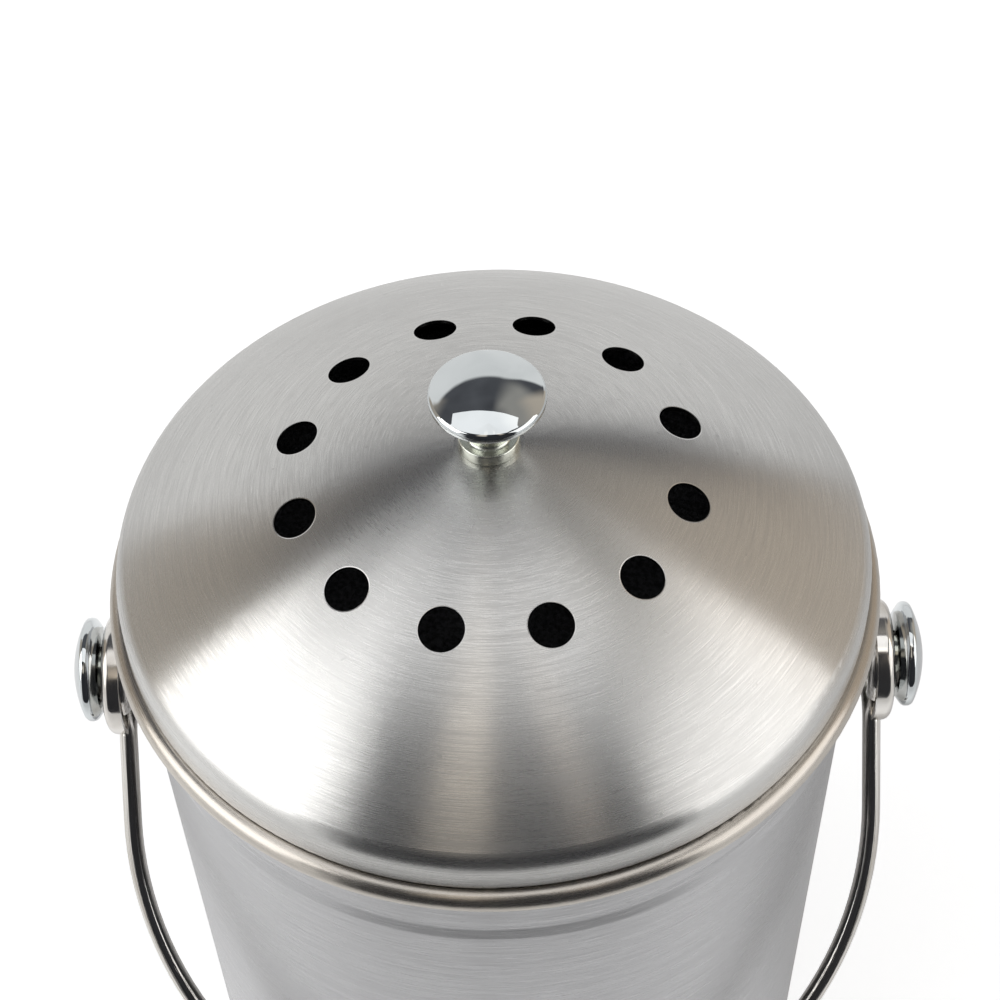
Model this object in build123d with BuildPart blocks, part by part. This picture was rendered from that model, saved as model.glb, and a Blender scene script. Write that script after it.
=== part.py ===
from build123d import *
from math import asin, atan2, cos, degrees, radians, sin, sqrt
import os

# A worktop pail for kitchen scraps, in brushed stainless steel. A domed lid with a ring
# of vents lifts off by a knob, and a wire bail swings on two more knobs of the same kind.
# Millimetres, +Z up. The origin is the centre of the pail's foot, on the worktop, and the
# two side knobs lie on the X axis. The front is towards -Y.

# ---- sheet and fits ----
sheet = 0.8                    # steel sheet of the pail, lid and skirt
face_gap = 0.05                # between faces that are clamped or welded together
moving_gap = 0.3               # between curved faces that turn or lift past each other

# ---- pail ----
rim_height = 216.0             # top of the rolled rim above the worktop
neck_radius = 86.4             # outside of the upright neck under the rim
wall_taper = 2.4               # how much narrower the wall is where it reaches the foot bend
foot_bend = 9.0                # outer radius of the bend between wall and foot
foot_ring_width = 11.0         # flat ring that the pail stands on
foot_recess = 2.4              # how far the middle of the bottom is pushed up
recess_slope = 4.0             # width of the slope between foot ring and recess
recess_bend = 3.0              # bends at both ends of that slope
rim_roll = 2.95                # outer radius of the rolled rim
rim_roll_turn = 315            # degrees that the sheet is rolled through
knob_drop = 40.7               # side knobs below the top of the rim
groove_drop = 22.0             # stop groove below the top of the rim
groove_depth = 0.8
groove_width = 7.0
groove_blend = 2.5             # radius of the bends of the groove

# ---- lid ----
rim_ledge = 3.0                # how far the rolled rim shows outside the lid's edge
shoulder_height = 6.57         # centre of the shoulder bend above the lid's lowest edge
crown_radius = 8.0             # flat seat for the knob
crown_slope = 6.6              # slope of the dome where it leaves the crown, in degrees
dome_radius = 156.0            # radius of the dome's outline
shoulder_radius = 6.0          # bend from the dome to the upright edge
hem_bend = 1.2                 # bend at the foot of the upright edge
hem_width = 2.9                # hem turned in under the lid
lid_turn = 1.4                 # how far the lid sits turned on the pail, in degrees
vent_count = 12
vent_ring_radius = 45.6
vent_diameter = 10.2

# ---- skirt that plugs into the pail's mouth ----
skirt_gap = 0.7                # between the skirt and the pail's neck
skirt_depth = 12.0             # below the lid's lowest edge
skirt_flange = 2.6             # flange that lies on the lid's hem
skirt_bend = 0.4               # bend between skirt and flange

# ---- filter and its holder ----
holder_wall = 1.8
holder_floor = 1.6
holder_gap = 0.25              # between the holder and the skirt
holder_lip = 1.2               # thickness of the lip under the skirt's lower edge
rib_width = 2.4                # spokes and rings of the holder's open floor
spoke_count = 12
hub_radius = 12.0
ring_radii = (34.0, 57.0)      # middle radius of the floor's two inner rings
hook_count = 3
hook_width = 14.0
hook_reach = 1.3               # how far a hook grips the skirt's flange
hook_thickness = 1.2
pad_thickness = 8.0
pad_gap = 0.5                  # around the filter pad
pad_chamfer = 0.6

# ---- knobs: one on the lid, one on each side ----
knob_flange_radius = 6.95
knob_flange_height = 3.1
knob_neck_radius = 4.6
knob_lip_height = 15.5         # middle of the cap's rolled-under lip above the knob's seat
knob_lip_roll = 1.4            # radius of the lip, and of the edge above it
knob_edge = 0.3                # upright edge between the lip and the dome's bend
cap_radius = 13.1              # outside of the cap
cap_rise = 4.1                 # top of the cap above the upright edge
cap_back_height = 13.1         # underside of the cap above the knob's seat
cap_back_slope = 55.0          # slope from the lip in to the underside, off the knob's axis
knob_bore_depth = 11.0         # tapped hole from the seat
stem_head_radius = 9.3         # head of the stem, trapped inside the cap
neck_fillet = 0.8              # where the neck rises from the flange
edge_break = 0.4

# ---- screws and washers ----
screw_radius = 1.95
bore_radius = 2.0
clear_hole_radius = 2.2
screw_head_radius = 4.0
screw_head_height = 2.4
head_round = 1.0               # rounding of the screw head
screw_reach = 8.5              # thread taken up inside the knob
cross_length = 4.4             # cross recess in the screw head
cross_width = 0.9
cross_depth = 1.4
washer_radius = 5.6
washer_thickness = 0.8
seal_radius = 6.2
seal_thickness = 1.1           # rubber between the pail's wall and the side washer

# ---- bail ----
wire_radius = 2.3
bail_drop = 2.3                # how far the loose eyes drop on the necks of the knobs
bail_straight = 38.0           # straight arm between pivot and arch
eye_blend = 8.0                # bend between arm and eye
eye_mouth = 42.0               # angle between the arm and the end of the eye, in degrees
plate_radius = 15.2
plate_lap = 0.6                # how far the cup's rim reaches in past the middle of the wire
plate_rim = 4.2                # where the cup's upright rim would meet its sloping face
plate_height = 5.5             # whole height of the cup, at its hole
plate_bend = 2.2               # bend between rim and face
plate_sheet = 1.2
notch_gap = 0.3                # round the arm where it leaves the plate

# ---- worked out from the above ----
foot_radius = neck_radius - wall_taper                 # outside of the wall at the foot bend
inner_neck = neck_radius - sheet
rim_radius = inner_neck + 2 * rim_roll                 # outside of the rolled rim
lid_radius = rim_radius - rim_ledge                    # outside of the lid's upright edge
roll_height = rim_height - rim_roll                    # middle of the rolled rim
lid_base = rim_height + moving_gap                     # lowest edge of the lid
knob_height = rim_height - knob_drop                   # axis of the side knobs
pivot_height = knob_height - bail_drop                 # axis that the bail turns on
groove_height = rim_height - groove_drop
skirt_radius = inner_neck - skirt_gap                  # outside of the skirt
inner_skirt = skirt_radius - sheet

eye_inner = knob_neck_radius + bail_drop + moving_gap
eye_radius = eye_inner + wire_radius
arm_offset = rim_radius + moving_gap + wire_radius     # the upright bail clears the rim
plate_back = arm_offset - plate_lap                    # open back of the plates
bail_height = bail_straight + arm_offset               # pivots to the middle of the arch


def wall_radius(height):
    """Outside radius of the tapered wall between the foot bend and the groove."""
    low = foot_bend
    high = groove_height - groove_width / 2
    return foot_radius + (neck_radius - foot_radius) * (height - low) / (high - low)


# The bail hangs forward until its arch rests against the front of the pail.
hang_angle = 42.0
for _ in range(20):
    arch_height = pivot_height - bail_height * cos(radians(hang_angle))
    reach = wall_radius(arch_height) + moving_gap + wire_radius
    hang_angle = degrees(asin(reach / bail_height))
swing_range = 360 - 2 * hang_angle
print(f"bail hangs {hang_angle:.2f} degrees forward and swings {swing_range:.2f} degrees")

os.makedirs("parts", exist_ok=True)


def save(builder, name):
    """Label a finished piece and write it under its own name."""
    builder.part.label = name
    export_step(builder.part, f"parts/{name}.step")


# ---- pail body: one drawn pot, tapered to the foot, with a stop groove and a rolled rim ----
groove_start = groove_height - groove_width / 2
groove_end = groove_height + groove_width / 2
recess_edge = foot_radius - foot_bend - foot_ring_width
roll_centre = (inner_neck + rim_roll, roll_height)
knob_wall = wall_radius(knob_height)

with BuildPart() as pail_body:
    with BuildSketch(Plane.XZ):
        with BuildLine():
            FilletPolyline(
                (0, foot_recess),
                (recess_edge - recess_slope, foot_recess),
                (recess_edge, 0),
                (foot_radius, 0),
                (wall_radius(groove_start), groove_start),
                (neck_radius - groove_depth, groove_height),
                (neck_radius, groove_end),
                (neck_radius, roll_height),
                radius=(recess_bend, recess_bend, foot_bend, groove_blend, groove_blend, groove_blend),
            )
            offset(amount=-sheet, side=Side.LEFT)
        make_face()
        # the same sheet rolled over the top and back to the wall
        with BuildLine():
            outside = CenterArc(roll_centre, rim_roll, 180, -rim_roll_turn)
            inside = CenterArc(roll_centre, rim_roll - sheet, 180, -rim_roll_turn)
            Line(outside @ 0, inside @ 0)
            Line(outside @ 1, inside @ 1)
        make_face()
    revolve(axis=Axis.Z)
    # one clearance hole on each side for the screws of the side knobs
    with BuildSketch(Plane.YZ):
        with Locations((0, knob_height)):
            Circle(clear_hole_radius)
    extrude(amount=neck_radius, both=True, mode=Mode.SUBTRACT)
save(pail_body, "pail_body")

# ---- lid shell: a domed sheet with a flat crown, an upright edge and a hem turned in ----
dome_centre_r = crown_radius - dome_radius * sin(radians(crown_slope))
shoulder_r = lid_radius - shoulder_radius
shoulder_z = lid_base + shoulder_height
dome_centre_z = shoulder_z - sqrt(
    (dome_radius - shoulder_radius) ** 2 - (shoulder_r - dome_centre_r) ** 2
)
crown_top = dome_centre_z + dome_radius * cos(radians(crown_slope))
dome_start = 90 - crown_slope
dome_end = degrees(atan2(shoulder_z - dome_centre_z, shoulder_r - dome_centre_r))
vent_slope = degrees(asin((vent_ring_radius - dome_centre_r) / dome_radius))
vent_z = dome_centre_z + dome_radius * cos(radians(vent_slope))

with BuildPart() as lid_shell:
    with BuildSketch(Plane.XZ):
        with BuildLine():
            Line((0, crown_top), (crown_radius, crown_top))
            CenterArc(
                (dome_centre_r, dome_centre_z), dome_radius, dome_start, dome_end - dome_start
            )
            CenterArc((shoulder_r, shoulder_z), shoulder_radius, dome_end, -dome_end)
            Polyline(
                (lid_radius, shoulder_z), (lid_radius, lid_base), (0, lid_base), (0, crown_top)
            )
        make_face()
    revolve(axis=Axis.Z)
    offset(amount=-sheet, openings=lid_shell.faces().sort_by(Axis.Z)[0])
    with BuildSketch(Plane.XY.offset(lid_base)):
        Circle(lid_radius)
        Circle(lid_radius - hem_width, mode=Mode.SUBTRACT)
    extrude(amount=sheet)
    lowest_edges = lid_shell.edges().group_by(Axis.Z)[0]
    fillet(lowest_edges.sort_by(SortBy.RADIUS)[-1], radius=hem_bend)
    # vents punched square to the dome
    for i in range(vent_count):
        angle = radians(lid_turn + (i + 0.5) * 360 / vent_count)
        out = Vector(cos(angle), sin(angle), 0)
        normal = out * sin(radians(vent_slope)) + Vector(0, 0, cos(radians(vent_slope)))
        centre = out * vent_ring_radius + Vector(0, 0, vent_z)
        with BuildSketch(Plane(centre, z_dir=normal)):
            Circle(vent_diameter / 2)
        extrude(amount=2 * sheet, both=True, mode=Mode.SUBTRACT)
    # clearance hole for the screw of the lid's knob
    with BuildSketch(Plane.XY.offset(crown_top)):
        Circle(clear_hole_radius)
    extrude(amount=-2 * sheet, mode=Mode.SUBTRACT)
save(lid_shell, "lid_shell")

# ---- lid skirt: a ring with a flange, spot-welded on top of the lid's hem ----
flange_bottom = lid_base + sheet + face_gap
flange_top = flange_bottom + sheet
skirt_bottom = lid_base - skirt_depth

with BuildPart() as lid_skirt:
    with BuildSketch(Plane.XZ):
        with BuildLine():
            FilletPolyline(
                (skirt_radius + skirt_flange, flange_bottom),
                (skirt_radius, flange_bottom),
                (skirt_radius, skirt_bottom),
                radius=skirt_bend,
            )
            offset(amount=-sheet, side=Side.RIGHT)
        make_face()
    revolve(axis=Axis.Z)
save(lid_skirt, "lid_skirt")

# ---- filter holder: an open-floored ring with hooks that snap over the skirt's flange ----
holder_radius = inner_skirt - holder_gap
holder_inner = holder_radius - holder_wall
lip_top = skirt_bottom - face_gap
holder_bottom = lip_top - holder_lip
floor_top = holder_bottom + holder_floor
holder_top = floor_top + pad_thickness
hook_bottom = flange_top + face_gap
hook_top = hook_bottom + hook_thickness


def upright_plane(angle):
    """Upright plane through the Z axis, its x pointing outwards at an angle in degrees."""
    x_dir = (cos(radians(angle)), sin(radians(angle)), 0)
    return Plane((0, 0, 0), x_dir=x_dir, z_dir=(sin(radians(angle)), -cos(radians(angle)), 0))


with BuildPart() as filter_holder:
    with BuildSketch(Plane.XZ):
        with BuildLine():
            Polyline(
                (holder_inner, holder_bottom),
                (skirt_radius, holder_bottom),
                (skirt_radius, lip_top),
                (holder_radius, lip_top),
                (holder_radius, holder_top),
                (holder_inner, holder_top),
                close=True,
            )
        make_face()
    revolve(axis=Axis.Z)
    # open floor: a hub, rings and spokes
    with BuildSketch(Plane.XY.offset(holder_bottom)):
        for ring_radius in ring_radii:
            Circle(ring_radius + rib_width / 2)
            Circle(ring_radius - rib_width / 2, mode=Mode.SUBTRACT)
        Circle(hub_radius)
        with PolarLocations(0, spoke_count):
            Rectangle(holder_inner + holder_wall / 2, rib_width, align=(Align.MIN, Align.CENTER))
    extrude(amount=holder_floor)
    # hooks: tongues of the ring wall with a nose over the flange
    hook_sweep = degrees(hook_width / holder_radius)
    for i in range(hook_count):
        middle = 90 + i * 360 / hook_count
        with BuildSketch(upright_plane(middle - hook_sweep / 2)):
            with BuildLine():
                Polyline(
                    (holder_inner, floor_top),
                    (holder_radius, floor_top),
                    (holder_radius, hook_bottom),
                    (inner_skirt + hook_reach, hook_bottom),
                    (holder_radius, hook_top),
                    (holder_inner, hook_top),
                    close=True,
                )
            make_face()
        revolve(axis=Axis.Z, revolution_arc=hook_sweep)
save(filter_holder, "filter_holder")

# ---- filter pad: a disc of charcoal foam that lies on the holder's floor ----
with BuildPart() as filter_pad:
    with BuildSketch(Plane.XY.offset(floor_top + face_gap)):
        Circle(holder_inner - pad_gap)
    extrude(amount=pad_thickness)
    chamfer(filter_pad.edges().filter_by(GeomType.CIRCLE), length=pad_chamfer)
save(filter_pad, "filter_pad")

# ---- knobs: a turned stem with a tapped hole, and a sheet cap rolled over the stem's head ----
side_seat = wall_radius(knob_height + knob_flange_radius) + face_gap
knob_seats = {
    "lid_knob": Plane((0, 0, crown_top + face_gap), x_dir=(1, 0, 0), z_dir=(0, 0, 1)),
    "side_knob_left": Plane((-side_seat, 0, knob_height), x_dir=(0, 0, 1), z_dir=(-1, 0, 0)),
    "side_knob_right": Plane((side_seat, 0, knob_height), x_dir=(0, 0, 1), z_dir=(1, 0, 0)),
}
edge_top = knob_lip_height + knob_edge
cap_top = edge_top + cap_rise
lip_middle = cap_radius - knob_lip_roll
# the dome runs smoothly into the bend at its edge
cap_dome = (lip_middle**2 + cap_rise**2 - knob_lip_roll**2) / (2 * (cap_rise - knob_lip_roll))
cap_dome_inner = cap_dome - sheet
cap_dome_centre = cap_top - cap_dome
bend_start = 90 - degrees(asin(lip_middle / (cap_dome - knob_lip_roll)))
back_start = knob_lip_height - knob_lip_roll * sin(radians(cap_back_slope))
back_length = (back_start - cap_back_height) / cos(radians(cap_back_slope))
mouth_radius = knob_neck_radius + face_gap
mouth_top = cap_back_height + sheet
head_bottom = mouth_top + face_gap
pocket_radius = stem_head_radius + face_gap
pocket_edge = cap_dome_centre + sqrt(cap_dome_inner**2 - pocket_radius**2)
head_top = pocket_edge - face_gap


def section_plane(seat):
    """Plane through a seat's axis: x runs across the seat and y along its axis."""
    return Plane(seat.origin, x_dir=seat.x_dir, z_dir=-seat.y_dir)


for name, seat in knob_seats.items():
    axis = Axis(seat.origin, seat.z_dir)

    with BuildPart() as stem:
        with BuildSketch(section_plane(seat)):
            with BuildLine():
                FilletPolyline(
                    (0, 0),
                    (knob_flange_radius, 0),
                    (knob_flange_radius, knob_flange_height),
                    (knob_neck_radius, knob_flange_height),
                    (knob_neck_radius, head_bottom),
                    (stem_head_radius, head_bottom),
                    (stem_head_radius, head_top),
                    (0, head_top),
                    radius=(edge_break, edge_break, neck_fillet, 0, 0, 0),
                )
                Line((0, head_top), (0, 0))
            make_face()
        revolve(axis=axis)
        with BuildSketch(seat):
            Circle(bore_radius)
        extrude(amount=knob_bore_depth, mode=Mode.SUBTRACT)
    save(stem, f"{name}_stem")

    with BuildPart() as cap:
        with BuildSketch(section_plane(seat)):
            with BuildLine():
                CenterArc((0, cap_dome_centre), cap_dome, 90, bend_start - 90)
                bend = CenterArc((lip_middle, edge_top), knob_lip_roll, bend_start, -bend_start)
                lip = CenterArc(
                    (lip_middle, knob_lip_height), knob_lip_roll, 0, -cap_back_slope
                )
                Line(bend @ 1, lip @ 0)
                back = PolarLine(lip @ 1, back_length, -(90 + cap_back_slope))
                Polyline(
                    back @ 1,
                    (mouth_radius, cap_back_height),
                    (mouth_radius, mouth_top),
                    (pocket_radius, mouth_top),
                    (pocket_radius, pocket_edge),
                )
                RadiusArc((pocket_radius, pocket_edge), (0, cap_top - sheet), -cap_dome_inner)
                Line((0, cap_top - sheet), (0, cap_top))
            make_face()
        revolve(axis=axis)
    save(cap, f"{name}_cap")

# ---- screws and washers: a cross-head screw from inside pulls each knob to its seat ----
lid_inside = crown_top - sheet
seal_outside = sqrt((knob_wall - sheet) ** 2 - seal_radius**2) - face_gap
side_washer_seat = seal_outside - seal_thickness
washer_seats = {
    "lid": Plane((0, 0, lid_inside - face_gap), x_dir=(1, 0, 0), z_dir=(0, 0, 1)),
    "side_left": Plane((-side_washer_seat, 0, knob_height), x_dir=(0, 0, 1), z_dir=(-1, 0, 0)),
    "side_right": Plane((side_washer_seat, 0, knob_height), x_dir=(0, 0, 1), z_dir=(1, 0, 0)),
}
screw_ends = {
    "lid": face_gap + sheet + face_gap + screw_reach,
    "side_left": side_seat - side_washer_seat + screw_reach,
    "side_right": side_seat - side_washer_seat + screw_reach,
}
head_face = -(washer_thickness + face_gap)

for name, seat in washer_seats.items():
    with BuildPart() as washer:
        with BuildSketch(seat):
            Circle(washer_radius)
            Circle(clear_hole_radius, mode=Mode.SUBTRACT)
        extrude(amount=-washer_thickness)
    save(washer, f"{name}_washer")

    with BuildPart() as screw:
        with BuildSketch(section_plane(seat)):
            with BuildLine():
                FilletPolyline(
                    (0, head_face - screw_head_height),
                    (screw_head_radius, head_face - screw_head_height),
                    (screw_head_radius, head_face),
                    (screw_radius, head_face),
                    (screw_radius, screw_ends[name]),
                    (0, screw_ends[name]),
                    radius=(head_round, 0, 0, edge_break),
                )
                Line((0, screw_ends[name]), (0, head_face - screw_head_height))
            make_face()
        revolve(axis=Axis(seat.origin, seat.z_dir))
        with BuildSketch(seat.offset(head_face - screw_head_height)):
            Rectangle(cross_length, cross_width)
            Rectangle(cross_width, cross_length)
        extrude(amount=cross_depth, mode=Mode.SUBTRACT)
    save(screw, f"{name}_screw")

# ---- seals: rubber rings that take up the curve of the wall under the side washers ----
for name in ("side_left", "side_right"):
    seat = washer_seats[name].offset(face_gap)
    with BuildPart() as seal:
        with BuildSketch(seat):
            Circle(seal_radius)
            Circle(clear_hole_radius, mode=Mode.SUBTRACT)
        extrude(amount=2 * seal_thickness)
        with BuildSketch(Plane.XY.offset(knob_height - seal_radius)):
            Circle(wall_radius(knob_height - seal_radius) - sheet - face_gap)
        extrude(amount=2 * seal_radius, mode=Mode.INTERSECT)
    save(seal, f"{name}_seal")

# ---- bail: one length of wire with an eye curled at each end and an arch between ----
down = radians(hang_angle)
bail_plane = Plane((0, 0, pivot_height), x_dir=(1, 0, 0), z_dir=(0, -cos(down), sin(down)))
eye_join = sqrt(eye_radius**2 + 2 * eye_radius * eye_blend)
eye_start = degrees(atan2(eye_blend, eye_join))

with BuildPart() as bail_wire:
    with BuildLine(bail_plane):
        CenterArc((0, -bail_straight), arm_offset, 180, 180)
    for side in (-1, 1):
        # the plane of one eye: x runs towards the back and y up the arm
        eye_centre = (side * arm_offset, 0, pivot_height)
        with BuildLine(Plane(eye_centre, x_dir=-bail_plane.z_dir, z_dir=(1, 0, 0))):
            Line((0, -bail_straight), (0, -eye_join))
            CenterArc((eye_blend, -eye_join), eye_blend, 180, eye_start - 90)
            eye = CenterArc((0, 0), eye_radius, eye_start - 90, 360 - eye_mouth - eye_start)
    with BuildSketch(Plane(eye @ 1, z_dir=eye % 1)):
        Circle(wire_radius)
    sweep()
save(bail_wire, "bail_wire")

# ---- bail plates: domed cups over the eyes, with a notch where the arm leaves ----
for name, side in (("left", -1), ("right", 1)):
    seat = Plane((side * plate_back, 0, pivot_height), x_dir=(0, 0, 1), z_dir=(side, 0, 0))
    with BuildPart() as plate:
        with BuildSketch(section_plane(seat)):
            with BuildLine():
                FilletPolyline(
                    (eye_inner, plate_height),
                    (plate_radius, plate_rim),
                    (plate_radius, 0),
                    radius=plate_bend,
                )
                offset(amount=-plate_sheet, side=Side.RIGHT)
            make_face()
        revolve(axis=Axis(seat.origin, seat.z_dir))
        arm_plane = Plane(
            (side * arm_offset, 0, pivot_height), x_dir=(side, 0, 0), z_dir=-bail_plane.y_dir
        )
        with BuildSketch(arm_plane):
            Circle(wire_radius + notch_gap)
            Rectangle(plate_lap, 2 * (wire_radius + notch_gap), align=(Align.MAX, Align.CENTER))
        extrude(amount=plate_radius, mode=Mode.SUBTRACT)
    save(plate, f"bail_plate_{name}")
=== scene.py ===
from math import ceil, cos, hypot, pi, radians, sin

import bmesh
import bpy
from mathutils import Matrix, Vector, noise


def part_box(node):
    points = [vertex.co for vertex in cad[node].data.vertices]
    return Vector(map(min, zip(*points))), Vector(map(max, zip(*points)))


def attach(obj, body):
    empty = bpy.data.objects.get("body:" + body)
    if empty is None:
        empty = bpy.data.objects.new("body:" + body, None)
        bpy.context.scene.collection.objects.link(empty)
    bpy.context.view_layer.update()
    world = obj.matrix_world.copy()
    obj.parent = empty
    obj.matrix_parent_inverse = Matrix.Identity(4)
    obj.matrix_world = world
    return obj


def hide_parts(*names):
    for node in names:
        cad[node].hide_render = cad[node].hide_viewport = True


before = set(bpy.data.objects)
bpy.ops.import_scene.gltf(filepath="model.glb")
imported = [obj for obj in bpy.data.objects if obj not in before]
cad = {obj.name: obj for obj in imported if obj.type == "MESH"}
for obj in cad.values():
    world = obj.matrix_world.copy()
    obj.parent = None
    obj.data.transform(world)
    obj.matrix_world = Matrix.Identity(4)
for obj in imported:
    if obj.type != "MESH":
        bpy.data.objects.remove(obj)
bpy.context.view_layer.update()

# ---- pail body ----
# One pot drawn from stainless sheet, with its rim rolled outwards. It is brushed on a
# turntable, so the fine marks run round it and the light on it stretches up and down.

roll_middle = 0.2129           # height of the rolled rim's middle
roll_bottom = 0.2097
wall_outside = 0.0866


def place(tree, kind, **settings):
    """A shader node of one kind, with its settings."""
    made = tree.nodes.new(kind)
    for setting, value in settings.items():
        setattr(made, setting, value)
    return made


def feed(tree, source, socket):
    """A number, vector or colour is set on the socket; another node's output is linked to it."""
    if isinstance(source, bpy.types.NodeSocket):
        tree.links.new(source, socket)
    else:
        socket.default_value = source


def work_out(tree, operation, *terms):
    """The output of one math step."""
    step = place(tree, "ShaderNodeMath", operation=operation)
    for socket, term in zip(step.inputs, terms):
        feed(tree, term, socket)
    return step.outputs[0]


def work_out_way(tree, operation, first, second=None):
    """The outputs of one vector math step. For SCALE, second is a plain value."""
    step = place(tree, "ShaderNodeVectorMath", operation=operation)
    feed(tree, first, step.inputs[0])
    if second is not None:
        feed(tree, second, step.inputs["Scale" if operation == "SCALE" else 1])
    return step.outputs


def direction(tree, x, y, z):
    """Three values as one vector."""
    joined = place(tree, "ShaderNodeCombineXYZ")
    for socket, term in zip(joined.inputs, (x, y, z)):
        feed(tree, term, socket)
    return joined.outputs[0]


def split(tree, vector):
    """The x, y and z of a vector."""
    parts = place(tree, "ShaderNodeSeparateXYZ")
    feed(tree, vector, parts.inputs[0])
    return parts.outputs


def cloud(tree, vector, scale, detail=2.0, roughness=0.5, distortion=0.0):
    """Soft random noise, from 0 to 1."""
    grain = place(tree, "ShaderNodeTexNoise")
    feed(tree, vector, grain.inputs["Vector"])
    feed(tree, scale, grain.inputs["Scale"])
    feed(tree, detail, grain.inputs["Detail"])
    feed(tree, roughness, grain.inputs["Roughness"])
    feed(tree, distortion, grain.inputs["Distortion"])
    return grain.outputs[0]


def spread(tree, value, low, high, new_low=0.0, new_high=1.0):
    """A value between low and high, smoothly mapped to new_low and new_high."""
    mapped = place(tree, "ShaderNodeMapRange", interpolation_type="SMOOTHSTEP")
    for socket, term in zip(mapped.inputs, (value, low, high, new_low, new_high)):
        feed(tree, term, socket)
    return mapped.outputs[0]


def changed_by(tree, value, mask, amount):
    """A value, changed by the whole amount where the mask is 1."""
    return work_out(tree, "MULTIPLY_ADD", mask, amount, value)


def diagonal(tree, first, second):
    """The distance between places that lie first apart one way and second apart square to it."""
    first_square = work_out(tree, "POWER", first, 2.0)
    second_square = work_out(tree, "POWER", second, 2.0)
    return work_out(tree, "SQRT", work_out(tree, "ADD", first_square, second_square))


def from_axis(tree, xyz):
    """How far a place lies from the upright axis of the pail, at least half a millimetre."""
    return work_out(tree, "MAXIMUM", diagonal(tree, xyz[0], xyz[1]), 0.0005)


def effect_group(name, takes, gives):
    """An empty shader node group. takes and gives name its inputs and outputs."""
    tree = bpy.data.node_groups.new(name, "ShaderNodeTree")
    for label in takes:
        kind = "NodeSocketVector" if label == "Position" else "NodeSocketFloat"
        tree.interface.new_socket(label, in_out="INPUT", socket_type=kind)
    for label in gives:
        tree.interface.new_socket(label, in_out="OUTPUT", socket_type="NodeSocketFloat")
    way_in = place(tree, "NodeGroupInput")
    way_out = place(tree, "NodeGroupOutput")
    return tree, way_in.outputs, way_out.inputs


def brushed_rings_effect():
    """Marks of an abrasive belt held against a turning piece."""
    tree, takes, gives = effect_group(
        "brushed rings",
        ("Position", "Across", "Marks per Metre", "Mark Turns"),
        ("Fine Marks", "Wide Bands", "Scuffs"),
    )
    band_step = 0.2                # a band is as wide as five marks, a scuff as two
    scuff_step = 0.5
    scuff_turns = 1.6              # scuffs are shorter than the marks
    xyz = split(tree, takes["Position"])
    off_axis = from_axis(tree, xyz)
    round_x = work_out(tree, "DIVIDE", xyz[0], off_axis)
    round_y = work_out(tree, "DIVIDE", xyz[1], off_axis)
    along_x = work_out(tree, "MULTIPLY", round_x, takes["Mark Turns"])
    along_y = work_out(tree, "MULTIPLY", round_y, takes["Mark Turns"])
    step = work_out(tree, "MULTIPLY", takes["Across"], takes["Marks per Metre"])
    fine_way = direction(tree, along_x, along_y, step)
    fine = cloud(tree, fine_way, 1.0, detail=3.0, roughness=0.7)
    feed(tree, fine, gives["Fine Marks"])
    wide_way = direction(tree, round_x, round_y, work_out(tree, "MULTIPLY", step, band_step))
    wide = cloud(tree, wide_way, 0.8, detail=3.0, roughness=0.6)
    feed(tree, wide, gives["Wide Bands"])
    scuff_way = direction(
        tree,
        work_out(tree, "MULTIPLY", along_x, scuff_turns),
        work_out(tree, "MULTIPLY", along_y, scuff_turns),
        work_out(tree, "MULTIPLY", step, scuff_step),
    )
    scuff = cloud(tree, scuff_way, 1.0, detail=1.0, roughness=0.4)
    feed(tree, spread(tree, scuff, 0.68, 0.78), gives["Scuffs"])
    return tree


brushed_rings = brushed_rings_effect()


def handling_effect():
    """What hands and cloths leave on metal: soft smears, hairline scratches and a few specks."""
    tree, takes, gives = effect_group(
        "handling", ("Position", "Scale"), ("Smears", "Hairlines", "Specks")
    )
    hair_scale = 14.0              # hairlines and specks are this much finer than the smears
    speck_scale = 26.0
    hair_width = 0.006
    smear = cloud(
        tree, takes["Position"], takes["Scale"], detail=3.0, roughness=0.55, distortion=0.6
    )
    feed(tree, spread(tree, smear, 0.35, 0.75), gives["Smears"])
    stretched = work_out_way(tree, "MULTIPLY", takes["Position"], (1.0, 0.12, 0.6))[0]
    hair = cloud(
        tree, stretched, work_out(tree, "MULTIPLY", takes["Scale"], hair_scale),
        detail=1.0, roughness=0.4, distortion=2.5,
    )
    off_line = work_out(tree, "ABSOLUTE", work_out(tree, "SUBTRACT", hair, 0.5))
    near_line = spread(tree, off_line, 0.0, hair_width, 1.0, 0.0)
    in_smears = spread(tree, smear, 0.5, 0.62)
    feed(tree, work_out(tree, "MULTIPLY", near_line, in_smears), gives["Hairlines"])
    fine_scale = work_out(tree, "MULTIPLY", takes["Scale"], speck_scale)
    speck = cloud(tree, takes["Position"], fine_scale, detail=0.0)
    feed(tree, spread(tree, speck, 0.86, 0.90), gives["Specks"])
    return tree


handling = handling_effect()


def new_finish(name, metallic, base, roughness):
    """A material with one Principled surface, and the object's own coordinates."""
    finish = bpy.data.materials.new(name)
    finish.use_nodes = True
    tree = finish.node_tree
    surface = tree.nodes["Principled BSDF"]
    surface.inputs["Metallic"].default_value = metallic
    surface.inputs["Base Color"].default_value = (*base, 1.0)
    surface.inputs["Roughness"].default_value = roughness
    spot = place(tree, "ShaderNodeTexCoord").outputs["Object"]
    return finish, tree, surface, spot


def put_group(tree, effect, **values):
    """An effect group placed in a material, its inputs set or linked by name."""
    placed = place(tree, "ShaderNodeGroup", node_tree=effect)
    for label, value in values.items():
        feed(tree, value, placed.inputs[label.replace("_", " ")])
    return placed.outputs


def tint(tree, mask, dark, light):
    """A colour between two, by a mask."""
    ramp = place(tree, "ShaderNodeValToRGB")
    ramp.color_ramp.elements[0].color = (*dark, 1.0)
    ramp.color_ramp.elements[1].color = (*light, 1.0)
    feed(tree, mask, ramp.inputs[0])
    return ramp.outputs[0]


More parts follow.
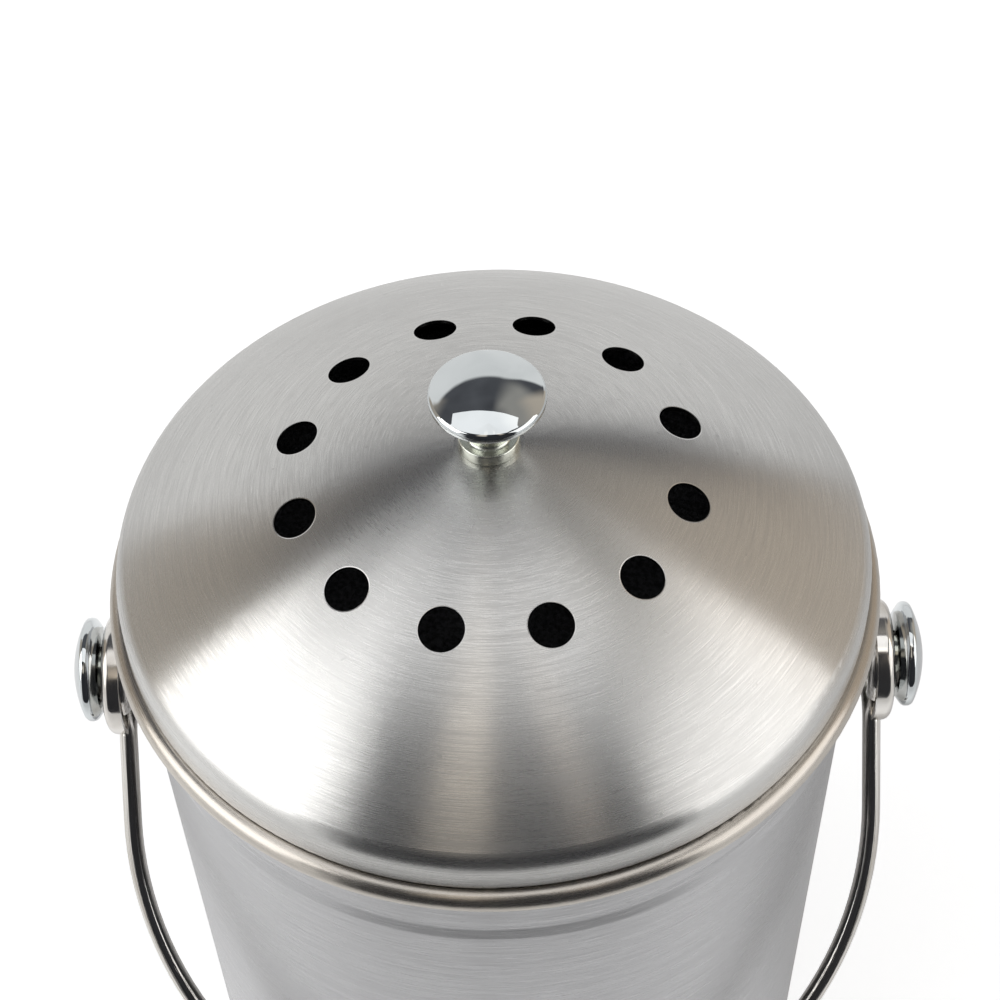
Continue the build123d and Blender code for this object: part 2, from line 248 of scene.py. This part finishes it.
def laid_over(tree, mask, under, over):
    """One plain colour laid over another, by a mask."""
    mixed = place(tree, "ShaderNodeMix", data_type="RGBA")
    factor, under_colour, over_colour = mixed.inputs[0], mixed.inputs[6], mixed.inputs[7]
    feed(tree, mask, factor)
    feed(tree, under, under_colour)
    over_colour.default_value = (*over, 1.0)
    return mixed.outputs[2]


def relief(tree, surface, height, distance, strength=1.0, facing=None):
    """Fine relief, distance metres deep. facing is the way the plain surface faces."""
    bump = place(tree, "ShaderNodeBump")
    if facing:
        feed(tree, facing, bump.inputs["Normal"])
    bump.inputs["Strength"].default_value = strength
    bump.inputs["Distance"].default_value = distance
    feed(tree, height, bump.inputs["Height"])
    feed(tree, bump.outputs[0], surface.inputs["Normal"])


def coat_cad(finish, *names):
    """Put a finish on CAD nodes, in every material slot they have."""
    for name in names:
        mesh = cad[name].data
        if not mesh.materials:
            mesh.materials.append(finish)
        for slot in range(len(mesh.materials)):
            mesh.materials[slot] = finish


def brushed_finish(
    name, dark, light, smooth, coarse, stretch, across_of, worked_of, worked_tone, gloss_gain, drop
):
    """Steel brushed round the upright axis. across_of gives the way across the marks, and
    worked_of where the brushing is rolled or punched smooth, with its own tone and gloss.
    drop is how far such a place lies lower, in depths of the marks."""
    finish, tree, surface, spot = new_finish(name, 1.0, light, coarse)
    xyz = split(tree, spot)
    across = across_of(tree, xyz)
    worked = worked_of(tree, xyz)
    marks = put_group(
        tree, brushed_rings, Position=spot, Across=across, Marks_per_Metre=4000.0, Mark_Turns=6.5
    )
    hands = put_group(tree, handling, Position=spot, Scale=22.0)
    tone = work_out(tree, "MULTIPLY", marks["Wide Bands"], 0.15)
    tone = changed_by(tree, tone, marks["Fine Marks"], 0.85)
    tone = changed_by(tree, tone, marks["Scuffs"], 0.15)
    tone = changed_by(tree, tone, hands["Specks"], -0.6)
    brushed = tint(tree, spread(tree, tone, 0.2, 0.8), dark, light)
    feed(tree, laid_over(tree, worked, brushed, worked_tone), surface.inputs["Base Color"])
    gloss = spread(tree, tone, 0.25, 0.75, coarse, smooth)
    gloss = changed_by(tree, gloss, hands["Smears"], 0.03)
    gloss = changed_by(tree, gloss, hands["Hairlines"], -0.05)
    gloss = changed_by(tree, gloss, worked, -gloss_gain)
    feed(tree, gloss, surface.inputs["Roughness"])
    surface.inputs["Anisotropic"].default_value = stretch
    surface.inputs["Anisotropic Rotation"].default_value = 0.25    # a quarter turn off the marks
    round_axis = place(tree, "ShaderNodeTangent", direction_type="RADIAL", axis="Z")
    feed(tree, round_axis.outputs[0], surface.inputs["Tangent"])
    height = changed_by(tree, marks["Fine Marks"], worked, -drop)
    relief(tree, surface, height, distance=0.000006, strength=0.6)
    return finish


def down_the_wall(tree, xyz):
    """Across the marks of the pail: its height, and its width on the bottom."""
    return work_out(tree, "SUBTRACT", xyz[2], from_axis(tree, xyz))


def rolled_rim(tree, xyz):
    """The rim is burnished by the rollers that turn it over."""
    upper_half = spread(tree, xyz[2], roll_middle, roll_middle + 0.0003)
    outside = spread(tree, from_axis(tree, xyz), wall_outside, wall_outside + 0.0002)
    above_bottom = spread(tree, xyz[2], roll_bottom, roll_bottom + 0.0003)
    beside_wall = work_out(tree, "MULTIPLY", outside, above_bottom)
    return work_out(tree, "MAXIMUM", upper_half, beside_wall)


wall_steel = brushed_finish(
    "wall_steel",
    dark=(0.44, 0.44, 0.45),
    light=(0.54, 0.54, 0.55),
    smooth=0.24,
    coarse=0.33,
    stretch=0.80,
    across_of=down_the_wall,
    worked_of=rolled_rim,
    worked_tone=(0.55, 0.515, 0.47),
    gloss_gain=0.03,
    drop=0.0,
)
coat_cad(wall_steel, "pail_body")

# ---- seals, washers and screws of the side knobs ----
# From inside the pail a zinc-plated cross-head screw pulls each knob to the wall, over a
# pressed washer and a moulded rubber ring that keeps the hole tight.


def pressed_effect():
    """The dull, slightly pitted skin of small pressed or moulded pieces."""
    tree, takes, gives = effect_group(
        "pressed skin", ("Position", "Grain"), ("Pits", "Patches")
    )
    pits = cloud(tree, takes["Position"], takes["Grain"], detail=4.0, roughness=0.6)
    feed(tree, pits, gives["Pits"])
    patch_scale = work_out(tree, "MULTIPLY", takes["Grain"], 0.15)
    feed(tree, cloud(tree, takes["Position"], patch_scale), gives["Patches"])
    return tree


pressed_skin = pressed_effect()


def pressed_finish(
    name, metallic, base, roughness, grain, dark, light, smooth, coarse, depth, strength
):
    """A dull skin with patches of tone and fine pits."""
    finish, tree, surface, spot = new_finish(name, metallic, base, roughness)
    skin = put_group(tree, pressed_skin, Position=spot, Grain=grain)
    patches = spread(tree, skin["Patches"], 0.35, 0.65)
    feed(tree, tint(tree, patches, dark, light), surface.inputs["Base Color"])
    gloss = spread(tree, skin["Pits"], 0.3, 0.7, smooth, coarse)
    feed(tree, gloss, surface.inputs["Roughness"])
    relief(tree, surface, skin["Pits"], distance=depth, strength=strength)
    return finish


zinc = pressed_finish(
    "zinc_plate", 1.0, (0.6, 0.61, 0.62), 0.35,
    grain=1800.0, dark=(0.50, 0.51, 0.52), light=(0.63, 0.64, 0.64),
    smooth=0.25, coarse=0.45, depth=0.00003, strength=0.4,
)
coat_cad(zinc, "side_left_washer", "side_left_screw", "side_right_washer", "side_right_screw")

rubber = pressed_finish(
    "seal_rubber", 0.0, (0.035, 0.035, 0.036), 0.65,
    grain=2400.0, dark=(0.028, 0.028, 0.029), light=(0.05, 0.05, 0.052),
    smooth=0.55, coarse=0.75, depth=0.00005, strength=0.5,
)
coat_cad(rubber, "side_left_seal", "side_right_seal")

# ---- side knobs ----
# A turned stem with a wide flange, nickel-plated over its fine turning marks, and a cap spun
# over its head, mirror-polished and chromed, with a breath of haze where cloths wipe it.

ball_radius = 0.0281           # ball that the dome of a cap is part of
dome_height = 0.0028
dome_blend = 0.0002            # over which the dome runs out into the cap's lip
knob_level = 0.1753            # height of the middle of a side knob
knob_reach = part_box("side_knob_right_cap")[1][0]


def mirror_finish(name, dark, light, haze_low, haze_high, facing_of=None):
    """Polished metal with wiped haze and a few hairlines. facing_of gives the way a dome faces."""
    finish, tree, surface, spot = new_finish(name, 1.0, light, haze_low)
    hands = put_group(tree, handling, Position=spot, Scale=60.0)
    feed(tree, tint(tree, hands["Smears"], light, dark), surface.inputs["Base Color"])
    haze = spread(tree, hands["Smears"], 0.0, 1.0, haze_low, haze_high)
    haze = changed_by(tree, haze, hands["Hairlines"], 0.05)
    feed(tree, haze, surface.inputs["Roughness"])
    facing = facing_of(tree, spot) if facing_of else None
    relief(tree, surface, hands["Smears"], distance=0.00004, strength=0.3, facing=facing)
    return finish


def cap_finish(name, top, way_up):
    """Chrome for a cap. Its dome is part of a ball and mirrors as smoothly as one."""

    def ball(tree, spot):
        """Straight out from the ball's middle on the dome, as the mesh faces elsewhere."""
        ball_middle = Vector(top) - ball_radius * Vector(way_up)
        from_middle = work_out_way(tree, "SUBTRACT", spot, ball_middle)[0]
        length = work_out_way(tree, "LENGTH", from_middle)["Value"]
        off_ball = work_out(tree, "ABSOLUTE", work_out(tree, "SUBTRACT", length, ball_radius))
        on_ball = spread(tree, off_ball, dome_blend / 2, dome_blend, 1.0, 0.0)
        level = work_out_way(tree, "DOT_PRODUCT", from_middle, way_up)["Value"]
        lip_level = ball_radius - dome_height
        above_lip = spread(tree, level, lip_level, lip_level + dome_blend)
        on_dome = work_out(tree, "MULTIPLY", above_lip, on_ball)
        off_dome = work_out(tree, "SUBTRACT", 1.0, on_dome)
        dome_share = work_out(tree, "DIVIDE", on_dome, ball_radius)
        dome_way = work_out_way(tree, "SCALE", from_middle, dome_share)[0]
        mesh_faces = place(tree, "ShaderNodeNewGeometry").outputs["Normal"]
        mesh_way = work_out_way(tree, "SCALE", mesh_faces, off_dome)[0]
        return work_out_way(tree, "ADD", dome_way, mesh_way)[0]

    return mirror_finish(name, (0.57, 0.60, 0.61), (0.65, 0.68, 0.69), 0.02, 0.05, ball)


left_chrome = cap_finish("left_knob_chrome", (-knob_reach, 0.0, knob_level), (-1.0, 0.0, 0.0))
right_chrome = cap_finish("right_knob_chrome", (knob_reach, 0.0, knob_level), (1.0, 0.0, 0.0))
stem_nickel = mirror_finish("stem_nickel", (0.66, 0.68, 0.61), (0.78, 0.80, 0.73), 0.16, 0.28)
coat_cad(left_chrome, "side_knob_left_cap")
coat_cad(right_chrome, "side_knob_right_cap")
coat_cad(stem_nickel, "side_knob_left_stem", "side_knob_right_stem")

# ---- bail ----
# One length of polished stainless wire, bent to an arch with an eye at each end. A stamped
# and polished cup closes over each eye; the whole bail hangs loosely on the two knobs.

pivot_height = 0.173
hang_angle = radians(41.46)
arm_length = 0.038             # straight part of each arm, below the pivot
arm_offset = 0.0941            # from the middle to an arm, and the radius of the arch


def drawn_wire_effect():
    """Fine lines that the drawing die leaves along the wire, round the arch and up its arms."""
    tree, takes, gives = effect_group(
        "drawn wire", ("Position", "Lines per Metre"), ("Die Lines",)
    )
    per_metre_along = 25.0
    xyz = split(tree, takes["Position"])
    z = work_out(tree, "SUBTRACT", xyz[2], pivot_height)
    up_arm = work_out(tree, "MULTIPLY", z, cos(hang_angle))
    up_arm = changed_by(tree, up_arm, xyz[1], sin(hang_angle))
    off_plane = work_out(tree, "MULTIPLY", z, sin(hang_angle))
    off_plane = changed_by(tree, off_plane, xyz[1], -cos(hang_angle))
    down_arch = work_out(tree, "MINIMUM", work_out(tree, "ADD", up_arm, arm_length), 0.0)
    off_line = work_out(tree, "SUBTRACT", diagonal(tree, xyz[0], down_arch), arm_offset)
    across = direction(
        tree,
        work_out(tree, "MULTIPLY", off_line, takes["Lines per Metre"]),
        work_out(tree, "MULTIPLY", off_plane, takes["Lines per Metre"]),
        work_out(tree, "MULTIPLY", up_arm, per_metre_along),
    )
    feed(tree, cloud(tree, across, 1.0, detail=3.0, roughness=0.6), gives["Die Lines"])
    return tree


bail_polish, tree, surface, spot = new_finish("bail_polish", 1.0, (0.72, 0.70, 0.67), 0.08)
drawn = put_group(tree, drawn_wire_effect(), Position=spot, Lines_per_Metre=1900.0)
hands = put_group(tree, handling, Position=spot, Scale=60.0)
lines = spread(tree, drawn["Die Lines"], 0.35, 0.62)
feed(tree, tint(tree, lines, (0.50, 0.47, 0.43), (0.76, 0.74, 0.71)), surface.inputs["Base Color"])
haze = spread(tree, lines, 0.0, 1.0, 0.13, 0.06)
haze = changed_by(tree, haze, hands["Smears"], 0.04)
feed(tree, haze, surface.inputs["Roughness"])
relief(tree, surface, lines, distance=0.00003, strength=0.6)
coat_cad(bail_polish, "bail_wire")

cup_polish = mirror_finish("cup_polish", (0.52, 0.49, 0.45), (0.78, 0.76, 0.73), 0.10, 0.22)
coat_cad(cup_polish, "bail_plate_left", "bail_plate_right")

# ---- filter holder and pad ----
# An open-floored ring moulded in black plastic that snaps on the lid's skirt, and a thick
# disc of open-celled foam loaded with charcoal that lies in it and takes up the smell.

black_plastic = pressed_finish(
    "holder_plastic", 0.0, (0.03, 0.03, 0.03), 0.45,
    grain=900.0, dark=(0.022, 0.022, 0.023), light=(0.036, 0.036, 0.037),
    smooth=0.36, coarse=0.52, depth=0.00006, strength=0.5,
)
coat_cad(black_plastic, "filter_holder")

pad_low, pad_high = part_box("filter_pad")
pad_radius = pad_high[0]
pad_round = 0.0016             # how far its edges are rounded
spokes = 360                   # points of its mesh in one ring
cell = 0.0011                  # distance between the rings
sag = 0.0004                   # how far the foam sinks between the ribs
sag_waves = 60.0
pore = 0.0003                  # depth of the open pores
pore_waves = 480.0
small_pore_waves = 900.0


def foam_outline():
    """Radius and height down the pad's half section, from its top middle to its bottom middle."""
    turns = 4
    outline = []
    flat = pad_radius - pad_round
    steps = ceil(flat / cell)
    outline += [(flat * i / steps, pad_high[2]) for i in range(1, steps)]
    for low, level in ((0, pad_high[2] - pad_round), (90, pad_low[2] + pad_round)):
        for i in range(turns + 1):
            angle = radians(low + 90 * i / turns)
            outline.append((flat + pad_round * sin(angle), level + pad_round * cos(angle)))
    outline += [(flat * (steps - i) / steps, pad_low[2]) for i in range(1, steps)]
    return outline


def pored(point):
    """A point of the pad, sunk a little between the ribs and pitted by the open cells."""
    off_axis = hypot(point[0], point[1])
    dip = sag * (0.5 + 0.5 * noise.noise(Vector(point) * sag_waves))
    cells = noise.noise(Vector(point) * pore_waves)
    small_cells = noise.noise(Vector(point) * small_pore_waves)
    pit = pore * max(0.0, cells + 0.5 * small_cells)
    middle = (pad_low[2] + pad_high[2]) / 2
    upper = point[2] > middle
    inward = max(0.0, off_axis - pad_radius + 2 * pad_round) / (2 * pad_round)
    keep = 1 - inward * pit / max(off_axis, cell)
    drop = (dip + pit) * (1 - inward) if upper else -pit * (1 - inward)
    return point[0] * keep, point[1] * keep, point[2] - drop


pad_mesh = bpy.data.meshes.new("charcoal_pad")
shape = bmesh.new()
rings = []
for radius, level in foam_outline():
    ring = []
    for i in range(spokes):
        angle = 2 * pi * i / spokes
        ring.append(shape.verts.new(pored((radius * cos(angle), radius * sin(angle), level))))
    rings.append(ring)
for upper, lower in zip(rings, rings[1:]):
    for i in range(spokes):
        after = (i + 1) % spokes
        shape.faces.new((upper[i], lower[i], lower[after], upper[after]))
for ring, level, order in ((rings[0], pad_high[2], 1), (rings[-1], pad_low[2], -1)):
    hub = shape.verts.new((0.0, 0.0, level))
    for i in range(spokes):
        shape.faces.new((hub, ring[i], ring[(i + 1) % spokes])[::order])
shape.normal_update()
shape.to_mesh(pad_mesh)
shape.free()
pad_mesh.shade_smooth()
pad = bpy.data.objects.new("charcoal_pad", pad_mesh)
bpy.context.scene.collection.objects.link(pad)

charcoal, tree, surface, spot = new_finish("charcoal_foam", 0.0, (0.02, 0.02, 0.02), 0.92)
skin = put_group(tree, pressed_skin, Position=spot, Grain=900.0)
pores = spread(tree, skin["Pits"], 0.35, 0.65)
pore_tone = tint(tree, pores, (0.03, 0.031, 0.034), (0.09, 0.092, 0.10))
feed(tree, pore_tone, surface.inputs["Base Color"])
feed(tree, spread(tree, skin["Patches"], 0.3, 0.7, 0.85, 0.97), surface.inputs["Roughness"])
relief(tree, surface, skin["Pits"], distance=0.0006)
pad_mesh.materials.append(charcoal)
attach(pad, "lid")
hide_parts("filter_pad")

# ---- lid ----
# A dome spun from the same sheet, with a ring of twelve punched vents, and under it a skirt
# spot-welded to its turned-in hem. It is brushed in rings, like the pail.

vent_count = 12
vent_ring = 0.0456             # from the lid's axis to the middle of a vent
vent_radius = 0.0051
vent_slope = radians(20.85)    # slope of the dome where the vents are
vent_height = 0.2505
vent_edge = 0.0003             # width that the punch burnishes round a vent
cut_shade_inner = 0.00002            # past the vent's radius, where the painted shade on its cut fades
cut_shade_outer = 0.00008
lid_turn = radians(1.4)


def down_the_dome(tree, xyz):
    """Across the marks of the lid: out along the dome and down its edge."""
    return work_out(tree, "SUBTRACT", from_axis(tree, xyz), xyz[2])


def from_vent(tree, xyz):
    """Distance from the middle line of the nearest vent, which is punched square to the dome."""
    off_axis = from_axis(tree, xyz)
    half_pitch = pi / vent_count
    angle = work_out(tree, "ARCTAN2", xyz[1], xyz[0])
    angle = work_out(tree, "SUBTRACT", angle, lid_turn + half_pitch)
    aside = work_out(tree, "WRAP", angle, half_pitch, -half_pitch)
    outwards = work_out(tree, "MULTIPLY", off_axis, work_out(tree, "COSINE", aside))
    sideways = work_out(tree, "MULTIPLY", off_axis, work_out(tree, "SINE", aside))
    outwards = work_out(tree, "SUBTRACT", outwards, vent_ring)
    upwards = work_out(tree, "SUBTRACT", xyz[2], vent_height)
    downhill = work_out(tree, "MULTIPLY", outwards, cos(vent_slope))
    downhill = changed_by(tree, downhill, upwards, -sin(vent_slope))
    return diagonal(tree, sideways, downhill)


def punched_edges(tree, xyz):
    """Each vent's edge is drawn down and burnished a little by the punch."""
    return spread(tree, from_vent(tree, xyz), vent_radius, vent_radius + vent_edge, 1.0, 0.0)


lid_steel = brushed_finish(
    "lid_steel",
    dark=(0.56, 0.555, 0.545),
    light=(0.70, 0.695, 0.68),
    smooth=0.23,
    coarse=0.31,
    stretch=0.88,
    across_of=down_the_dome,
    worked_of=punched_edges,
    worked_tone=(0.70, 0.69, 0.68),
    gloss_gain=0.08,
    drop=12.0,
)
# The cut through the sheet is rough. Its near-black tone is painted shade, because the cut lies in
# shade inside the vent.
tree = lid_steel.node_tree
surface = tree.nodes["Principled BSDF"]
xyz = split(tree, place(tree, "ShaderNodeTexCoord").outputs["Object"])
off_vent = from_vent(tree, xyz)
# painted shade: the vent's cut is laid over with near black
painted_cut_shade = spread(tree, off_vent, vent_radius + cut_shade_inner, vent_radius + cut_shade_outer, 0.9, 0.0)
steel_tone = surface.inputs["Base Color"].links[0].from_socket
feed(tree, laid_over(tree, painted_cut_shade, steel_tone, (0.03, 0.03, 0.03)), surface.inputs["Base Color"])
coat_cad(lid_steel, "lid_shell", "lid_skirt")

# ---- lid knob ----
# The same stem and cap as on the pail's sides, pulled to the crown of the dome by a
# cross-head screw and washer from inside.

coat_cad(stem_nickel, "lid_knob_stem")
lid_knob_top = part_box("lid_knob_cap")[1][2]
coat_cad(cap_finish("lid_knob_chrome", (0.0, 0.0, lid_knob_top), (0.0, 0.0, 1.0)), "lid_knob_cap")
coat_cad(zinc, "lid_washer", "lid_screw")

# ---- worktop and studio ----
# The pail stands on a wide white paper in front of a white sweep. Soft lamps hang at its left,
# at its right and overhead, and between them the metal shows a dim room of a few plain fields.

floor_reach = 3.0
floor_front = -0.40            # the metal mirrors the paper only behind this line
floor_mesh = bpy.data.meshes.new("floor")
shape = bmesh.new()
bmesh.ops.create_grid(shape, x_segments=2, y_segments=2, size=floor_reach)
shape.to_mesh(floor_mesh)
shape.free()
floor = bpy.data.objects.new("floor", floor_mesh)
bpy.context.scene.collection.objects.link(floor)


def ray_kinds(tree):
    """A mask of what metal mirrors, and one of what is seen straight or through glass."""
    rays = place(tree, "ShaderNodeLightPath").outputs
    straight = work_out(tree, "MAXIMUM", rays["Is Camera Ray"], rays["Is Transmission Ray"])
    return rays["Is Glossy Ray"], straight


def either(tree, mask, first, second):
    """The first shader, and the second where the mask is 1."""
    mixed = place(tree, "ShaderNodeMixShader")
    for socket, source in zip(mixed.inputs, (mask, first, second)):
        feed(tree, source, socket)
    return mixed.outputs[0]


def dimmed(tree, angle, middle, near, far, least):
    """How bright the paper is, down to least near the middle of one direction, in degrees."""
    away = work_out(tree, "ABSOLUTE", work_out(tree, "SUBTRACT", angle, radians(middle)))
    return spread(tree, away, radians(near), radians(far), least, 1.0)


paper, tree, surface, spot = new_finish("floor_paper", 0.0, (0.82, 0.82, 0.82), 0.9)
fibre = cloud(tree, spot, 300.0, detail=3.0)
feed(tree, tint(tree, fibre, (0.80, 0.80, 0.80), (0.84, 0.84, 0.84)), surface.inputs["Base Color"])
surface.inputs["Specular IOR Level"].default_value = 0.1
surface.inputs["Emission Color"].default_value = (1.0, 1.0, 1.0, 1.0)
in_metal, seen_straight = ray_kinds(tree)
xyz = split(tree, spot)
# In the metal the paper is dimmer in front, to the right and to the left.
from_front = work_out(tree, "ARCTAN2", xyz[0], work_out(tree, "MULTIPLY", xyz[1], -1.0))
right_part = dimmed(tree, from_front, 108, 12, 64, 0.22)
left_part = dimmed(tree, from_front, -118, 8, 42, 0.62)
glow = spread(tree, xyz[1], -0.30, 0.0, 0.08, 0.46)
glow = work_out(tree, "MULTIPLY", glow, work_out(tree, "MULTIPLY", right_part, left_part))
glow = work_out(tree, "MULTIPLY", in_metal, glow)
# Seen straight it is white far off, and near the pail it leaves room for the shadow.
plain_white = spread(tree, from_axis(tree, xyz), 0.3, 0.9, 0.56, 1.0)
shown = changed_by(tree, glow, seen_straight, plain_white)
feed(tree, shown, surface.inputs["Emission Strength"])
in_front = spread(tree, xyz[1], floor_front - 0.01, floor_front + 0.01, 1.0, 0.0)
left_out = work_out(tree, "MULTIPLY", in_metal, in_front)
open_air = place(tree, "ShaderNodeBsdfTransparent").outputs[0]
paper_or_air = either(tree, left_out, surface.outputs[0], open_air)
feed(tree, paper_or_air, tree.nodes["Material Output"].inputs["Surface"])
floor_mesh.materials.append(paper)


def between(tree, value, outer_low, low, high, outer_high):
    """A mask in degrees that is full from low to high and fades out to the outer limits."""
    rise = spread(tree, value, radians(outer_low), radians(low))
    fall = spread(tree, value, radians(high), radians(outer_high), 1.0, 0.0)
    return work_out(tree, "MULTIPLY", rise, fall)


def field(tree, way_round, width, way_up, rise):
    """A part of the room: its width round the pail and its rise from level, in degrees, each
    as between takes them. A rise that starts at -100 reaches down to the floor."""
    wide = between(tree, way_round, *width)
    return work_out(tree, "MULTIPLY", wide, between(tree, way_up, *rise))


def even_light(tree, colour, strength=1.0):
    """Light of one colour from everywhere."""
    light = place(tree, "ShaderNodeBackground")
    feed(tree, colour, light.inputs["Color"])
    feed(tree, strength, light.inputs["Strength"])
    return light.outputs[0]


world = bpy.data.worlds.new("studio")
bpy.context.scene.world = world
world.use_nodes = True
tree = world.node_tree
tree.nodes.clear()
outlook = place(tree, "ShaderNodeTexCoord").outputs["Generated"]
xyz = split(tree, outlook)
from_back = work_out(tree, "ARCTAN2", xyz[0], xyz[1])
off_back = work_out(tree, "ABSOLUTE", from_back)
height = work_out(tree, "ARCSINE", xyz[2])
# The sweep's upper edge comes down towards the right.
edge_fall = spread(tree, from_back, radians(12), radians(50), 0.0, radians(20))
sweep_height = work_out(tree, "ADD", height, edge_fall)
white = field(tree, from_back, (-56, -49, 41, 48), sweep_height, (-100, -95, 37, 42))
for other in (
    field(tree, off_back, (-10, -5, 115, 140), height, (-100, -95, -3, 3)),        # worktop
    field(tree, from_back, (-146, -134, -96, -88), height, (-40, -20, 12, 26)),    # left panel
    field(tree, from_back, (92, 98, 128, 138), height, (-40, -24, 10, 24)),        # right panel
):
    white = work_out(tree, "MAXIMUM", white, other)
room = tint(tree, cloud(tree, outlook, 2.2), (0.03, 0.03, 0.035), (0.15, 0.155, 0.17))
front_of_room = spread(tree, off_back, radians(110), radians(140), 0.0, 0.75)
room = laid_over(tree, front_of_room, room, (0.012, 0.012, 0.014))
for width, rise, colour in (
    ((8, 34, 80, 120), (34, 48, 66, 84), (0.36, 0.345, 0.32)),            # haze at the right
    ((-100, -80, -50, -42), (-100, -95, 32, 50), (0.43, 0.385, 0.33)),    # left wall
    ((38, 50, 78, 96), (-100, -95, 44, 62), (0.56, 0.49, 0.41)),          # right wall
    ((-179, -174, -160, -153), (43, 49, 74, 84), (0.74, 0.66, 0.56)),     # left board
    ((146, 149, 155, 159), (43, 49, 74, 84), (0.56, 0.49, 0.42)),         # right board
):
    room = laid_over(tree, field(tree, from_back, width, height, rise), room, colour)
room = laid_over(tree, white, room, (0.90, 0.90, 0.895))
in_metal, seen_straight = ray_kinds(tree)
fill_light = even_light(tree, (1.0, 1.0, 1.0, 1.0), 0.3)
metal_or_fill = either(tree, in_metal, fill_light, even_light(tree, room))
backdrop = even_light(tree, (1.0, 1.0, 1.0, 1.0))
all_light = either(tree, seen_straight, metal_or_fill, backdrop)
feed(tree, all_light, place(tree, "ShaderNodeOutputWorld").inputs["Surface"])


def hang_lamp(name, from_back, height, distance, width, tall, brightness, colour, shift=0.0):
    """A soft rectangular lamp turned to the lid. from_back is its angle from the back to the
    right; shift then moves it to the right without turning it."""
    light = bpy.data.lights.new(name, "AREA")
    light.shape = "RECTANGLE"
    light.size = width
    light.size_y = tall
    light.energy = brightness * pi * width * tall
    light.color = colour
    lamp = bpy.data.objects.new(name, light)
    bpy.context.scene.collection.objects.link(lamp)
    lid_middle = Vector((0.0, 0.0, 0.24))
    level = distance * cos(radians(height))
    upwards = distance * sin(radians(height))
    out = Vector((level * sin(radians(from_back)), level * cos(radians(from_back)), upwards))
    lamp.location = lid_middle + out
    lamp.location.x += shift
    lamp.rotation_mode = "QUATERNION"
    lamp.rotation_quaternion = (-out).to_track_quat("-Z", "Y")
    lamp.visible_camera = False


hang_lamp(
    "left_lamp", from_back=-107.0, height=33.0, distance=1.5, width=1.2, tall=1.15,
    brightness=2.2, colour=(1.0, 0.995, 0.985),
)
hang_lamp(
    "right_lamp", from_back=109.0, height=30.0, distance=1.5, width=1.27, tall=1.15,
    brightness=1.5, colour=(1.0, 0.985, 0.965),
)
hang_lamp(
    "top_lamp", from_back=-173.0, height=85.8, distance=1.7, width=1.8, tall=0.96,
    brightness=1.12, colour=(1.0, 1.0, 1.0), shift=-0.13,
)

# ---- camera ----
# A long lens on a stand in front of the pail, half a metre from the lid. It looks down on the
# lid, and is turned and tipped by a degree or two.

camera_spot = (0.00817, -0.3345, 0.6502)
camera_turn = radians(1.059)
camera_pitch = radians(90 - 50.835)
camera_roll = radians(-2.0)
camera_data = bpy.data.cameras.new("camera")
camera_data.lens = 82.97
camera_data.sensor_width = 36.0
camera_data.clip_start = 0.01
camera_data.clip_end = 20.0
camera = bpy.data.objects.new("camera", camera_data)
bpy.context.scene.collection.objects.link(camera)
turn = Matrix.Rotation(camera_turn, 4, "Z")
pitch = Matrix.Rotation(camera_pitch, 4, "X")
roll = Matrix.Rotation(camera_roll, 4, "Z")
camera.matrix_world = Matrix.Translation(camera_spot) @ turn @ pitch @ roll
bpy.context.scene.camera = camera
bpy.context.scene.view_settings.view_transform = "Standard"
